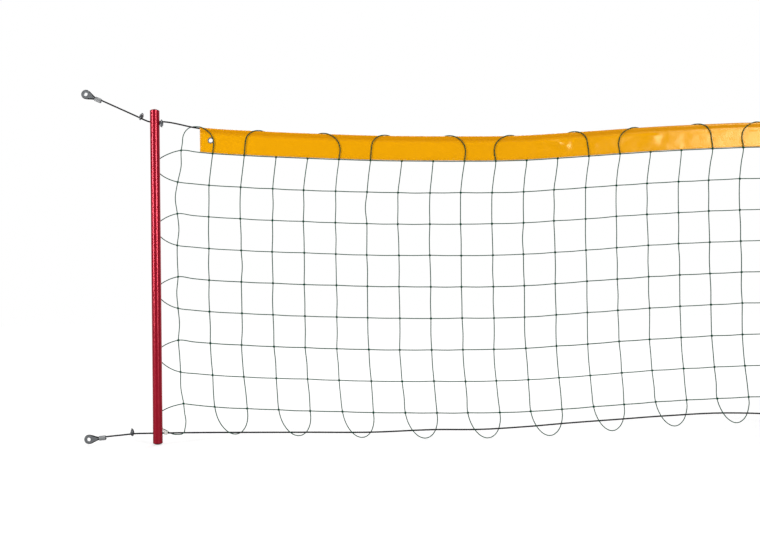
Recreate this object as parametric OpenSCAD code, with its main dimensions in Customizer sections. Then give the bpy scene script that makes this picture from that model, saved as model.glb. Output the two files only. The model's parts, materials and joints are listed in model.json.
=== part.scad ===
// Volleyball net between two short poles: a knotted square net hung from a wire rope,
// with a coated fabric band over the rope, a foot rope below and an eye at each rope end.
// Sizes are in millimetres and Z points up. The origin is the bore of the left upper eye,
// where the net hangs. Each module works from the left pole's upper rope hole instead,
// and hang() moves it to the origin.

/* [Netting] */
// Number of upright twines
columns = 21; // [7:2:31]
// Number of level twines
rows = 9; // [5:2:11]
// Distance from knot to knot
mesh = 100; // [90:1:110]
// Diameter of the twine
twine_d = 2.4; // [1.8:0.1:2.8]
// Distance from a pole's axis to the nearest upright twine
side_gap = 82; // [76:1:92]
// How far the uprights lean over between the band and the foot rope
lean = 15; // [0:1:20]

/* [Band] */
// Height of the band over the upper rope
band_h = 78; // [60:1:100]
// Thickness of one layer of the band's fabric
fabric_t = 0.8; // [0.5:0.1:1]
// Distance from a pole's axis to the end of the band
band_inset = 142; // [126:1:150]
// Distance from the band's end to the middle of its eyelet
eyelet_inset = 34; // [24:1:36]
// Bore of the eyelets in the band
eyelet_d = 13; // [8:0.5:14]
// Width of the eyelets' flange
eyelet_flange = 3; // [2:0.25:3.5]

/* [Poles] */
// Outer diameter of the pole tubes
pole_d = 30; // [24:0.5:36]
// Wall of the pole tubes
pole_wall = 1.5; // [1:0.1:3]
// Height of the tube above the upper rope
pole_top = 35; // [25:1:80]
// Length of the tube below the foot rope
pole_foot = 31; // [25:1:80]
// Height of the domed end of a plug
plug_dome = 5; // [3:0.5:10]
// Depth of a plug inside its tube
plug_depth = 16; // [8:1:20]

/* [Ropes] */
// Diameter of the coated wire ropes
rope_d = 5; // [4:0.1:6]
// Sag of the upper rope between the poles
sag = 60; // [30:1:70]
// Rise of the foot rope where the net lifts it
foot_rise = 31; // [10:1:44]
// Distance from the lowest level twine down to the foot rope at the poles
foot_gap = 92; // [84:1:120]
// Straight run of an upper tail between its bend and its eye
head_tail = 212; // [180:1:300]
// Angle of an upper tail above level
head_angle = 25; // [5:1:40]
// Straight run of a foot tail between its bend and its eye
foot_tail = 146; // [130:1:300]
// Angle of a foot tail below level
foot_angle = 5; // [2:1:15]
// Diameter of the lacing cord behind each pole
lace_d = 3; // [2:0.1:4]

/* [Fittings] */
// Bore of the thimbles
eye_d = 12; // [8:0.5:14]
// Length of the crimped ferrules
ferrule_l = 20; // [14:1:30]
// Wall of the ferrules
ferrule_wall = 2.2; // [1.5:0.1:3]
// Diameter of the clips' bent bow
stud_d = 4.6; // [4:0.1:5]
// Length of the clips' saddle along the rope
saddle_l = 10; // [7:0.5:14]
// Width of the nuts across their flats
nut_af = 8; // [7.5:0.1:9]
// Height of the nuts
nut_h = 4; // [3:0.1:6]
// Clearance between pieces that don't press on each other
gap = 0.3; // [0.2:0.05:0.4]

/* [Hidden] */
$fn = 48;
eps = 0.01;

// Overall places
span = 2 * side_gap + (columns - 1) * mesh;
pole_r = pole_d / 2;
rope_r = rope_d / 2;
twine_r = twine_d / 2;
lace_r = lace_d / 2;
stud_r = stud_d / 2;
hole_r = rope_r + 0.5;

// The hem is the part of the band that goes round the upper rope
hem_inner = rope_r + gap;
hem_outer = hem_inner + fabric_t;
layer_gap = 0.1;
band_half = fabric_t + layer_gap;
band_drop = band_h - hem_outer;
row_clear = 1.2;
row_drop = band_drop + twine_r + row_clear;
end_dip = 5;

// Shapes of the two ropes from pole to pole: share of the span, share of the sag or rise
sag_shape = [[0, 0], [0.007, 0], [0.066, 0.38], [0.15, 0.61], [0.25, 0.8], [0.33, 0.92],
    [0.43, 0.99], [0.53, 1], [0.62, 0.84], [0.74, 0.59], [0.855, 0.44], [0.934, 0.36],
    [0.993, 0], [1, 0]];
rise_shape = [[0, 0], [0.007, 0], [0.21, -0.18], [0.31, -0.3], [0.4, -0.16], [0.47, -0.22],
    [0.54, -0.02], [0.6, 0.26], [0.68, 0.57], [0.74, 0.8], [0.83, 1], [0.92, 0.7],
    [0.993, 0], [1, 0]];
// Lean of the uprights: share of the net's height, share of the lean
lean_shape = [[0, 0], [0.125, -0.85], [0.25, -1], [0.75, -1], [0.875, -0.6], [1, -0.1]];

function piece_of(x, shape, i = 0) =
    i >= len(shape) - 2 || x < shape[i + 1].x ? i : piece_of(x, shape, i + 1);
function slope_at(shape, i) = i < 2 || i > len(shape) - 3 ? 0 :
    (shape[i + 1].y - shape[i - 1].y) / (shape[i + 1].x - shape[i - 1].x);
function curve_at(x, shape) =
    let (i = piece_of(x, shape), w = shape[i + 1].x - shape[i].x, s = (x - shape[i].x) / w)
    shape[i].y * (2 * s ^ 3 - 3 * s ^ 2 + 1) + shape[i + 1].y * (3 * s ^ 2 - 2 * s ^ 3)
    + w * slope_at(shape, i) * (s ^ 3 - 2 * s ^ 2 + s)
    + w * slope_at(shape, i + 1) * (s ^ 3 - s ^ 2);
function head_z(x) = -sag * curve_at(x / span, sag_shape);
foot_z = head_z(side_gap) - row_drop - end_dip - (rows - 1) * mesh - foot_gap;
function foot_rope_z(x) = foot_z + foot_rise * curve_at(x / span, rise_shape);

// Knots of the net, column c and row r counted from 1 at the left and the top
wander = 1.2;
function stray(c, r) = wander * sin(137 * c + 71 * r * r);
function at_end(c) = c == 1 || c == columns ? 1 : 0;
function knot_x(c, r) = side_gap + (c - 1) * mesh + lean * lookup((r - 1) / (rows - 1), lean_shape)
    + (r == 1 ? 0 : stray(c, r));
function knot_z(c, r) = head_z(side_gap + (c - 1) * mesh) - row_drop - end_dip * at_end(c)
    - (r - 1) * mesh - (r == 1 ? 0 : abs(stray(r, c)));

// Depths: level twines lie in front of the uprights, and both clear the band and the ropes
layer_y = twine_r + gap / 2;
front_y = -layer_y - twine_d - gap / 2;
back_y = band_half + twine_r + gap;
twine_reach = twine_r * sqrt(2);
hem_clear = hem_outer + twine_reach + 0.6;
foot_clear = rope_r + twine_reach + gap + 0.6;
bight_step = 30;
cord_turn = (lace_r + twine_reach + gap) / cos(bight_step / 2);
near_y = pole_r + twine_reach + gap;
lace_y = near_y + cord_turn;
far_y = lace_y + cord_turn;

// Tubes: a profile is carried along a path, and ref is a direction that the path never takes
function unit(v) = v / norm(v);
function heading(path, i) = unit(path[min(i + 1, len(path) - 1)] - path[max(i - 1, 0)]);
function carried(p, t, ref, profile, k) =
    let (s = unit(cross(t, ref)), u = cross(s, t)) [for (q = profile) p + k * (q.x * s + q.y * u)];
function square_profile(h) = [[-h, -h], [h, -h], [h, h], [-h, h]];
function round_profile(r, sides) = [for (a = [0:360 / sides:359]) r * [cos(a), sin(a)]];
function wall_faces(rings, n) = [for (i = [0:rings - 2]) for (j = [0:n - 1])
    let (a = i * n + j, b = i * n + (j + 1) % n) each [[a, b, a + n], [b, b + n, a + n]]];
function cap_faces(first, n) = [for (j = [1:n - 2]) [first, first + j, first + j + 1]];
function turned(faces) = [for (f = faces) [f[2], f[1], f[0]]];

module tube(path, profile, ref = [0, 1, 0], scales = []) {
    n = len(profile);
    rings = len(path);
    points = [for (i = [0:rings - 1])
        each carried(path[i], heading(path, i), ref, profile, len(scales) > i ? scales[i] : 1)];
    polyhedron(points, concat(
        turned(wall_faces(rings, n)),
        cap_faces(0, n),
        turned(cap_faces((rings - 1) * n, n))));
}

module hang() {
    eye = eye_centre(head_flat, head_angle, head_tail);
    translate([-eye.x, 0, -eye.y]) children();
}

module hang_right() {
    hang() translate([span, 0, 0]) mirror([1, 0, 0]) children();
}

module coated_wire() color([0.1, 0.1, 0.11]) children();
module zinc() color([0.62, 0.63, 0.65]) children();
module dark_zinc() color([0.42, 0.42, 0.44]) children();
module green_twine() color([0.14, 0.33, 0.24]) children();
module dark_red() color([0.36, 0.02, 0.06]) children();

// Poles
module pole() {
    top = pole_top;
    bottom = foot_z - pole_foot;
    color([0.65, 0.02, 0.1]) difference() {
        translate([0, 0, bottom]) cylinder(r = pole_r, h = top - bottom);
        translate([0, 0, bottom - 1]) cylinder(r = pole_r - pole_wall, h = top - bottom + 2);
        rope_hole(0);
        rope_hole(foot_z);
        translate([0, 0, lace_top]) rotate([-90, 0, 0]) cylinder(r = lace_r + gap, h = pole_d);
    }
}

module rope_hole(z) {
    translate([-pole_d, 0, z]) rotate([0, 90, 0]) cylinder(r = hole_r, h = 2 * pole_d);
}

module plug() {
    dome_r = (pole_r * pole_r + plug_dome * plug_dome) / (2 * plug_dome);
    dark_red() translate([0, 0, -plug_depth]) cylinder(r = pole_r - pole_wall - 0.15, h = plug_depth + 0.5);
    dark_red() intersection() {
        translate([0, 0, plug_dome - dome_r]) sphere(r = dome_r, $fn = 96);
        cylinder(r = pole_r, h = plug_dome + 1);
    }
}

module top_plug() {
    translate([0, 0, pole_top]) plug();
}

module bottom_plug() {
    translate([0, 0, foot_z - pole_foot]) mirror([0, 0, 1]) plug();
}

// Ropes from pole to pole
rope_sides = 10;
rope_end = 0.15;
function rope_x(shape) = concat([rope_end], [for (i = [1:len(shape) - 2]) each
    i < len(shape) - 2 ? [shape[i].x * span, (shape[i].x + shape[i + 1].x) / 2 * span] : [shape[i].x * span]],
    [span - rope_end]);

head_line = [for (x = rope_x(sag_shape)) [x, 0, head_z(x)]];
foot_line = [for (x = rope_x(rise_shape)) [x, 0, foot_rope_z(x)]];
// Height of a drawn rope, which is straight from point to point
function level(x, line) = lookup(x, [for (p = line) [p.x, p.z]]);

module head_rope() {
    coated_wire() tube(head_line, round_profile(rope_r, rope_sides));
}

module foot_rope() {
    coated_wire() tube(foot_line, round_profile(rope_r, rope_sides));
}

// Tails: out of the pole's hole, round a bend and straight on to an eye
bend_r = 4 * rope_d;
head_flat = pole_r - 1;
foot_flat = 68;
ferrule_start = 32;
pair_half = rope_r + gap;
groove_r = eye_d / 2 + 3.7;
turn_r = groove_r + gap + rope_r;
thimble_tip = 26;

function tail_way(angle) = [-cos(angle), sin(angle)];
function tail_side(angle) = [sin(angle), cos(angle)];
function bend_point(flat, angle, share) = let (a = angle * share)
    [-flat - bend_r * sin(abs(a)), sign(angle) * bend_r * (1 - cos(a))];
function tail_point(flat, angle, s) = bend_point(flat, angle, 1) + s * tail_way(angle);
function eye_centre(flat, angle, l) = tail_point(flat, angle, l) - pair_half * tail_side(angle);
function eye_point(flat, angle, l, u, v) =
    eye_centre(flat, angle, l) + u * tail_way(angle) + v * tail_side(angle);

// The rope leaves the ferrule, touches the thimble's groove at this angle and goes round it
touch = acos(turn_r / norm([ferrule_start, pair_half])) + atan(pair_half / ferrule_start);

module tail(flat, angle, l) {
    turn = 180 - touch;
    flat_points = concat(
        [[-rope_end, 0], [-flat * 0.5, 0], [-flat, 0]],
        [for (s = [1 / 2, 1]) bend_point(flat, angle, s)],
        [for (s = [1 / 3, 2 / 3]) tail_point(flat, angle, s * (l - ferrule_start))],
        [eye_point(flat, angle, l, -ferrule_start, pair_half)],
        [for (a = [turn:-turn / 4:-turn]) eye_point(flat, angle, l, turn_r * cos(a), turn_r * sin(a))],
        [eye_point(flat, angle, l, -ferrule_start, -pair_half)],
        [eye_point(flat, angle, l, -ferrule_start - ferrule_l - 2, -pair_half)]);
    coated_wire() tube([for (p = flat_points) [p.x, 0, p.y]], round_profile(rope_r, rope_sides));
}

module head_tail_rope() {
    tail(head_flat, head_angle, head_tail);
}

module foot_tail_rope() {
    translate([0, 0, foot_z]) tail(foot_flat, -foot_angle, foot_tail);
}

module at_head_eye() {
    at_eye(head_flat, head_angle, head_tail) children();
}

module at_foot_eye() {
    translate([0, 0, foot_z]) at_eye(foot_flat, -foot_angle, foot_tail) children();
}

module at_eye(flat, angle, l) {
    eye = eye_centre(flat, angle, l);
    translate([eye.x, 0, eye.y]) rotate([0, angle, 0]) children();
}

// Drop outline: a circle with straight sides that run to a point on +X
module drop(r, tip) {
    a = acos(r / tip);
    circle(r = r);
    polygon([[0, 0], [r * cos(a), -r * sin(a)], [tip, 0], [r * cos(a), r * sin(a)]]);
}

module plate(t) {
    rotate([90, 0, 0]) linear_extrude(height = t, center = true) children();
}

module thimble() {
    groove_w = rope_d + 2 * gap;
    cheek_t = 1.2;
    zinc() difference() {
        union() {
            plate(groove_w) drop(groove_r, thimble_tip);
            for (side = [-1, 1])
                translate([0, side * (groove_w + cheek_t) / 2, 0])
                    plate(cheek_t + eps) drop(groove_r + 3.8, ferrule_start - gap);
        }
        rotate([90, 0, 0]) cylinder(r = eye_d / 2, h = 3 * groove_w, center = true);
    }
}

module ferrule() {
    outer = rope_r + ferrule_wall;
    zinc() translate([ferrule_start + ferrule_l / 2, 0, 0]) rotate([0, 90, 0]) difference() {
        linear_extrude(height = ferrule_l, center = true) {
            for (side = [-1, 1]) translate([side * pair_half, 0]) circle(r = outer);
            square([2 * pair_half, 2 * outer], center = true);
        }
        for (side = [-1, 1])
            translate([side * pair_half, 0, 0]) cylinder(r = rope_r + 0.1, h = ferrule_l + 2, center = true);
    }
}

// Rope clips: the rope runs along X, the bow goes under it and its studs stand up
bow_r = rope_r + 1 + stud_r;
bow_z = bow_r - stud_r - rope_r - gap;
saddle_bottom = rope_r * 0.4;
saddle_top = rope_r + gap + 5;
stud_top = saddle_top + nut_h + 5;
head_clip_s = 24;
foot_clip_s = 9;
foot_clip_tilt = 30;
inner_clip_x = pole_r + saddle_l / 2 + 1.5;

module clip_bow() {
    zinc() translate([0, 0, bow_z]) rotate([90, 180, 90])
        rotate_extrude(angle = 180) translate([bow_r, 0]) circle(r = stud_r, $fn = 32);
    zinc() for (side = [-1, 1]) translate([0, side * bow_r, bow_z])
        cylinder(r = stud_r, h = stud_top - bow_z, $fn = 32);
}

module clip_saddle() {
    ear_r = stud_r + 2.4;
    saddle_h = saddle_top - saddle_bottom;
    dark_zinc() difference() {
        translate([0, 0, saddle_bottom]) {
            for (side = [-1, 1]) translate([0, side * bow_r, 0]) cylinder(r = ear_r, h = saddle_h);
            translate([-saddle_l / 2, -bow_r, 0]) cube([saddle_l, 2 * bow_r, saddle_h]);
        }
        for (side = [-1, 1]) translate([0, side * bow_r, 0])
            cylinder(r = stud_r + 0.2, h = 3 * saddle_top, center = true, $fn = 32);
        rotate([0, 90, 0]) cylinder(r = rope_r + gap, h = 2 * saddle_l + 10, center = true);
    }
}

module clip_nuts() {
    zinc() for (side = [-1, 1]) translate([0, side * bow_r, saddle_top]) difference() {
        cylinder(d = nut_af / cos(30), h = nut_h, $fn = 6);
        translate([0, 0, -1]) cylinder(r = stud_r + 0.05, h = nut_h + 2, $fn = 32);
    }
}

module at_head_clip() {
    p = tail_point(head_flat, head_angle, head_clip_s);
    translate([p.x, 0, p.y]) rotate([0, head_angle, 0]) children();
}

module at_foot_clip() {
    p = tail_point(foot_flat, -foot_angle, foot_clip_s);
    translate([p.x, 0, p.y + foot_z]) rotate([0, -foot_angle, 0]) rotate([foot_clip_tilt, 0, 0]) children();
}

module at_inner_clips() {
    for (end = [0, 1]) {
        near = level(end == 0 ? inner_clip_x : span - inner_clip_x, head_line);
        ahead = level(end == 0 ? inner_clip_x + saddle_l : span - inner_clip_x - saddle_l, head_line);
        translate([end * span, 0, 0]) mirror([end, 0, 0]) translate([inner_clip_x, 0, near])
            rotate([0, atan((near - ahead) / saddle_l), 0]) mirror([0, 0, 1]) children();
    }
}

// Band: one strip of fabric folded over the upper rope, both layers hanging down
hem_angles = [225, 195, 165, 135, 90, 45, 15, -15, -45];
neck_z = -hem_outer - 3;
function band_side(half, r) = concat(
    [[-half, -band_drop], [-half, neck_z]],
    [for (a = hem_angles) r * [cos(a), sin(a)]],
    [[half, neck_z], [half, -band_drop]]);
band_outline = concat(band_side(band_half, hem_outer),
    [for (i = [len(hem_angles) + 3:-1:0]) band_side(layer_gap, hem_inner)[i]]);

module band() {
    n = len(band_outline);
    half = n / 2;
    inner = [for (x = rope_x(sag_shape)) if (x > band_inset + 5 && x < span - band_inset - 5) x];
    places = concat([band_inset], inner, [span - band_inset]);
    band_steps = len(places) - 1;
    points = [for (x = places) for (q = band_outline) [x, q.x, level(x, head_line) + q.y]];
    strip = [for (j = [0:half - 2]) each [[j, j + 1, n - 1 - j], [j + 1, n - 2 - j, n - 1 - j]]];
    last = band_steps * n;
    color([0.98, 0.67, 0.03]) difference() {
        polyhedron(points, concat(
            wall_faces(band_steps + 1, n),
            turned(strip),
            [for (f = strip) [last + f[0], last + f[1], last + f[2]]]));
        for (end = [0, 1]) at_eyelet(end) rotate([90, 0, 0])
            cylinder(r = eyelet_d / 2 + 0.9, h = 20, center = true);
    }
}

module at_eyelet(end) {
    x = band_inset + eyelet_inset;
    level = end == 0 ? head_z(x) : head_z(span - x);
    translate([end * span, 0, 0]) mirror([end, 0, 0])
        translate([x, 0, level + hem_outer - band_h / 2]) children();
}

module eyelet(end) {
    flange_t = 0.8;
    zinc() at_eyelet(end) rotate([90, 0, 0]) difference() {
        union() {
            cylinder(r = eyelet_d / 2 + 0.7, h = 2 * band_half + eps, center = true);
            for (side = [-1, 1]) translate([0, 0, side * (band_half + flange_t / 2)])
                cylinder(r = eyelet_d / 2 + eyelet_flange, h = flange_t, center = true);
        }
        cylinder(r = eyelet_d / 2, h = 10, center = true);
    }
}

// Net: the twine goes up and down the columns, over the band and under the foot rope
// Quarter of an arch over the band: angle, share of hem_clear to the front, shift to the middle
arch = [[0, -front_y / hem_clear, 3.5], [22, 0.75, 2.5], [45, 0.85, 1], [60, 1, 0], [75, 0.78, 0]];
arch_h = 45;
function inward(c) = c < (columns + 1) / 2 ? 1 : -1;
function arch_x(c, way, q) = knot_x(c, 1) + way * mesh / 2 * (1 - cos(q.x)) + inward(c) * q.z;
function arch_side(c, way, depth) = [for (q = arch)
    [arch_x(c, way, q), depth * hem_clear * q.y,
     head_z(arch_x(c, way, q)) + hem_clear - arch_h * (1 - sin(q.x))]];
function reversed(list) = [for (i = [len(list) - 1:-1:0]) list[i]];
// Odd pairs of columns have the front leg on the right, even pairs on the left
function front_right(c) = ((c + 1) / 2) % 2 == 1;
function top_arch(c) = concat(
    arch_side(c, 1, front_right(c) ? 1 : -1),
    [[knot_x(c, 1) + mesh / 2, 0, head_z(knot_x(c, 1) + mesh / 2) + hem_clear]],
    reversed(arch_side(c + 1, -1, front_right(c) ? -1 : 1)));

loop_depth = 80;
loop_skew = 12;
loop_angles = [15, 30, 45, 60, 70, 80, 90, 100, 110, 120, 135, 150, 165];
function low_knot(c) = [knot_x(c, rows), knot_z(c, rows)];
function loop_low(c) = let (middle = (low_knot(c) + low_knot(c + 1)) / 2)
    max(loop_depth, middle.y - foot_rope_z(middle.x) + foot_clear + 1);
// Depth that clears the foot rope, for a height above its centreline
function beside_rope(h) = h > 0 ? foot_clear : sqrt(max(0, foot_clear ^ 2 - h ^ 2));
function bottom_loop(c) = let (a = low_knot(c), b = low_knot(c + 1))
    [for (q = loop_angles)
        let (p = a + (b - a) * (1 - cos(q)) / 2 + sin(q) * [loop_skew, -loop_low(c)],
            depth = max(beside_rope(p.y - level(p.x, foot_line)), foot_clear * min(1, abs(90 - q) / 20)))
        [p.x, sign(q - 90) * depth * min(1, (q - 8) / 20, (172 - q) / 20), p.y]];

function upright_y(c, r) = r > 1 ? layer_y : is_front(c) ? front_y : back_y;
function is_front(c) = c == columns ? false : (c % 2 == 1) != front_right(c % 2 == 1 ? c : c - 1);
function upright(c) = [for (r = [1:rows]) [knot_x(c, r), upright_y(c, r), knot_z(c, r)]];

// Side loops: share of the way from the knot to the pole's axis, share of the depth, fall
side_leg = [[0.25, 0.12, 4], [0.5, 0.42, 10], [0.74, 0.76, 18], [0.91, 0.97, 26], [1, 1, 31]];
// The lower leg climbs to the pole more steeply than the upper one falls
side_climb = 1.3;
function leg_to_pole(x, z, depth, fall) = [for (q = side_leg)
    [x * (1 - q.x), depth * q.y - layer_y * (1 - q.y), z - fall * q.z]];
function cord_bight(z_in, z_out) = [for (a = [-60:bight_step:60])
    [-cord_turn * cos(a), lace_y + cord_turn * sin(a), z_in + (z_out - z_in) * (a + 90) / 180]];
function side_loop(x_a, z_a, x_b, z_b) = concat(
    leg_to_pole(x_a, z_a, near_y, 1),
    cord_bight(z_a - side_leg[4].z, z_b + side_climb * side_leg[4].z),
    reversed(leg_to_pole(x_b, z_b, far_y, -side_climb)));
function mirrored(path) = [for (p = path) [span - p.x, p.y, p.z]];
function left_loop(r) = side_loop(knot_x(1, r), knot_z(1, r), knot_x(1, r + 1), knot_z(1, r + 1));
function right_loop(r) = mirrored(side_loop(
    span - knot_x(columns, r), knot_z(columns, r), span - knot_x(columns, r + 1), knot_z(columns, r + 1)));

// Corner loops: lower left from the lowest row round the cord and under the foot rope,
// upper right from the last column round the cord to the first row
corner_x = knot_x(1, rows);
corner_z = knot_z(1, rows);
lower_corner = concat(
    [[corner_x - twine_r, -layer_y, corner_z]],
    leg_to_pole(corner_x, corner_z, near_y, 1),
    cord_bight(corner_z - 31, foot_z + 20),
    [[0, far_y, foot_z + 16],
     [12, far_y * 0.8, foot_z + 11],
     [26, far_y * 0.55, foot_z + 5],
     [38, foot_clear, foot_z - 1],
     [48, foot_clear * 0.6, foot_z - foot_clear],
     [62, 0, foot_z - foot_clear - 1],
     [74, -foot_clear * 0.6, foot_z - foot_clear],
     [82, -foot_clear, foot_z],
     [86, -foot_clear * 0.8, foot_z + 14],
     [corner_x + 7, -0.5, foot_z + 34],
     [corner_x + 3, layer_y, (foot_z + corner_z) / 2 + 16]]);
last_x = span - knot_x(columns, 1);
last_z = knot_z(columns, 1);
upper_corner = mirrored(concat(
    [[last_x, layer_y, last_z + 14],
     [last_x * 0.92, layer_y * 2, last_z + 30],
     [last_x * 0.7, far_y * 0.35, last_z + 42],
     [last_x * 0.4, far_y * 0.75, last_z + 46],
     [12, far_y * 0.97, last_z + 42],
     [0, far_y, last_z + 36]],
    reversed(cord_bight(last_z - 2, last_z + 30)),
    [[0, near_y, last_z - 6],
     [10, near_y * 0.97, last_z - 7],
     [22, near_y * 0.75, last_z - 7],
     [last_x * 0.5, near_y * 0.42, last_z - 5],
     [last_x * 0.8, 0.2, last_z - 1],
     [last_x - twine_r, -layer_y, last_z]]));

twine = square_profile(twine_r);

module net_uprights() {
    green_twine() tube(concat(
        lower_corner,
        [for (c = [1:columns]) each c % 2 == 1
            ? concat(reversed(upright(c)), c < columns ? top_arch(c) : [])
            : concat(upright(c), bottom_loop(c))],
        upper_corner), twine);
}

module net_rows() {
    green_twine() tube([for (r = [rows:-1:1]) each r % 2 == 1
        ? concat([for (c = [1:columns]) [knot_x(c, r), -layer_y, knot_z(c, r)]],
            r > 1 ? reversed(right_loop(r - 1)) : [])
        : concat([for (c = [columns:-1:1]) [knot_x(c, r), -layer_y, knot_z(c, r)]],
            reversed(left_loop(r - 1)))], twine);
}

// Lacing: knotted inside the tube, down behind the pole and tied round the foot rope
lace_top = -30;
tie_r = rope_r + gap + lace_r;
tie_x = pole_r + 6;
tie_pitch = lace_d + 0.5;
tie_step = 45;
tie_turns = 2.5;

module lacing(end) {
    inside = [[0, 3, lace_top], [0, 5, lace_top], [0, 9, lace_top], [0, 11, lace_top]];
    down = [[0, pole_r + 1, lace_top - 0.4], [0, lace_y - 1, lace_top - 3], [0, lace_y, lace_top - 8],
        [0, lace_y, foot_z / 3], [0, lace_y, foot_z / 1.5], [0, lace_y, foot_z + 44],
        [1.5, lace_y - 0.4, foot_z + 32], [6, lace_y - 2.4, foot_z + 22],
        [12, lace_y - 6, foot_z + 14], [pole_r + 2, tie_r + 3, foot_z + 8]];
    tie = [for (a = [0:tie_step:360 * tie_turns]) let (x = tie_x + tie_pitch * a / 360)
        [x, tie_r * cos(a), level(end == 0 ? x : span - x, foot_line) - tie_r * sin(a)]];
    last = tie[len(tie) - 1];
    rest = [last + [1.5, -1, 5], last + [3, -1.5, 9]];
    color([0.94, 0.94, 0.92]) tube(concat(inside, down, tie, rest), round_profile(lace_r, 8),
        [1, 0, 0], [1.6, 2.2, 2.2, 1]);
}

hang() pole();  // left_pole
hang_right() pole();  // right_pole
hang() top_plug();  // left_top_plug
hang() bottom_plug();  // left_bottom_plug
hang_right() top_plug();  // right_top_plug
hang_right() bottom_plug();  // right_bottom_plug
hang() head_rope();
hang() head_tail_rope();  // left_head_tail
hang_right() head_tail_rope();  // right_head_tail
hang() foot_rope();
hang() foot_tail_rope();  // left_foot_tail
hang_right() foot_tail_rope();  // right_foot_tail
hang() at_head_eye() thimble();  // left_head_thimble
hang_right() at_head_eye() thimble();  // right_head_thimble
hang() at_foot_eye() thimble();  // left_foot_thimble
hang_right() at_foot_eye() thimble();  // right_foot_thimble
hang() at_head_eye() ferrule();  // left_head_ferrule
hang_right() at_head_eye() ferrule();  // right_head_ferrule
hang() at_foot_eye() ferrule();  // left_foot_ferrule
hang_right() at_foot_eye() ferrule();  // right_foot_ferrule
hang() at_head_clip() clip_bow();  // left_head_clip_bow
hang() at_head_clip() clip_saddle();  // left_head_clip_saddle
hang() at_head_clip() clip_nuts();  // left_head_clip_nuts
hang_right() at_head_clip() clip_bow();  // right_head_clip_bow
hang_right() at_head_clip() clip_saddle();  // right_head_clip_saddle
hang_right() at_head_clip() clip_nuts();  // right_head_clip_nuts
hang() at_foot_clip() clip_bow();  // left_foot_clip_bow
hang() at_foot_clip() clip_saddle();  // left_foot_clip_saddle
hang() at_foot_clip() clip_nuts();  // left_foot_clip_nuts
hang_right() at_foot_clip() clip_bow();  // right_foot_clip_bow
hang_right() at_foot_clip() clip_saddle();  // right_foot_clip_saddle
hang_right() at_foot_clip() clip_nuts();  // right_foot_clip_nuts
hang() at_inner_clips() clip_bow();  // inner_clip_bows
hang() at_inner_clips() clip_saddle();  // inner_clip_saddles
hang() at_inner_clips() clip_nuts();  // inner_clip_nuts
hang() band();
hang() eyelet(0);  // left_eyelet
hang() eyelet(1);  // right_eyelet
hang() net_rows();
hang() net_uprights();
hang() lacing(0);  // left_lacing
hang_right() lacing(1);  // right_lacing
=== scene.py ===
import json
import math
import random

import bpy
import numpy as np
from mathutils import Matrix, Vector, noise


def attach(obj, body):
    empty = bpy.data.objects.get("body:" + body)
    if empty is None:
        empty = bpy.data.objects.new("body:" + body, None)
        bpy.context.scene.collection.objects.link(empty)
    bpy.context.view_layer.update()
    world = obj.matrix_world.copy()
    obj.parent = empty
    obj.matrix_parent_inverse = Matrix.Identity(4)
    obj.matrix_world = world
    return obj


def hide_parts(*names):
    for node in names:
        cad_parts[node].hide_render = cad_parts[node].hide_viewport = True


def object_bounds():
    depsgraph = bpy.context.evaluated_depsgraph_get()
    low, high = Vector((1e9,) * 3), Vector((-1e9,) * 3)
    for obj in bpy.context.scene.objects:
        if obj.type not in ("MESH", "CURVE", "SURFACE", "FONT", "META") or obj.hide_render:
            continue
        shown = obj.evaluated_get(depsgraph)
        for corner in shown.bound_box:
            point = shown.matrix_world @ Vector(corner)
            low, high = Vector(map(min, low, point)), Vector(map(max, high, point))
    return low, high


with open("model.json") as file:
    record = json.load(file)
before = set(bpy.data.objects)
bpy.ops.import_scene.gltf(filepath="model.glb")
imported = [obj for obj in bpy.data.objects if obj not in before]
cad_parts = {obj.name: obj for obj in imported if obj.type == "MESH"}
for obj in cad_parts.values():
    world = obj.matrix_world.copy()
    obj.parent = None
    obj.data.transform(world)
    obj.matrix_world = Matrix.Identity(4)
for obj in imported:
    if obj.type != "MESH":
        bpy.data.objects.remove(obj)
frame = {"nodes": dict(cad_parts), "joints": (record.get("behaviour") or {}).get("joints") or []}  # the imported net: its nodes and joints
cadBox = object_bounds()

random.seed(7)

# sizes of the net in millimetres, the same ones that its solids were drawn from
sizes = {
    "columns": 21, "rows": 9, "mesh": 100.0, "sideGap": 82.0, "lean": 15.0,
    "twine": 2.4, "rope": 5.0, "lace": 3.0, "pole": 30.0, "gap": 0.3,
    "sag": 60.0, "footRise": 31.0, "footGap": 92.0, "endDip": 5.0, "rowClear": 1.2,
    "bandHeight": 78.0, "bandInset": 142.0, "fabric": 0.8, "layerGap": 0.1,
    "eyeletInset": 34.0, "eyeletBore": 13.0,
}
columns, rows, mesh = sizes["columns"], sizes["rows"], sizes["mesh"]
span = 2 * sizes["sideGap"] + (columns - 1) * mesh
ropeR, twineR, laceR, poleR = sizes["rope"] / 2, sizes["twine"] / 2, sizes["lace"] / 2, sizes["pole"] / 2
gap = sizes["gap"]
swing = next(j for j in frame["joints"] if j["name"] == "net_swing")
hole = Vector(swing["pos_m"])  # where the upper rope crosses the left pole's axis


def toFrame(points):
    # millimetres from the left pole's upper hole to metres in the row frame
    return np.asarray(points, float).reshape(-1, 3) / 1000 + np.array(hole)


# place in millimetres from the left pole's upper hole, angles in degrees, lens and sensor in millimetres
camera = {"place": (623.3, -3100.0, -583.0), "yaw": 1.54, "pitch": 1.31, "roll": -0.86,
          "lens": 46.24, "sensor": 36.0}


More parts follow.
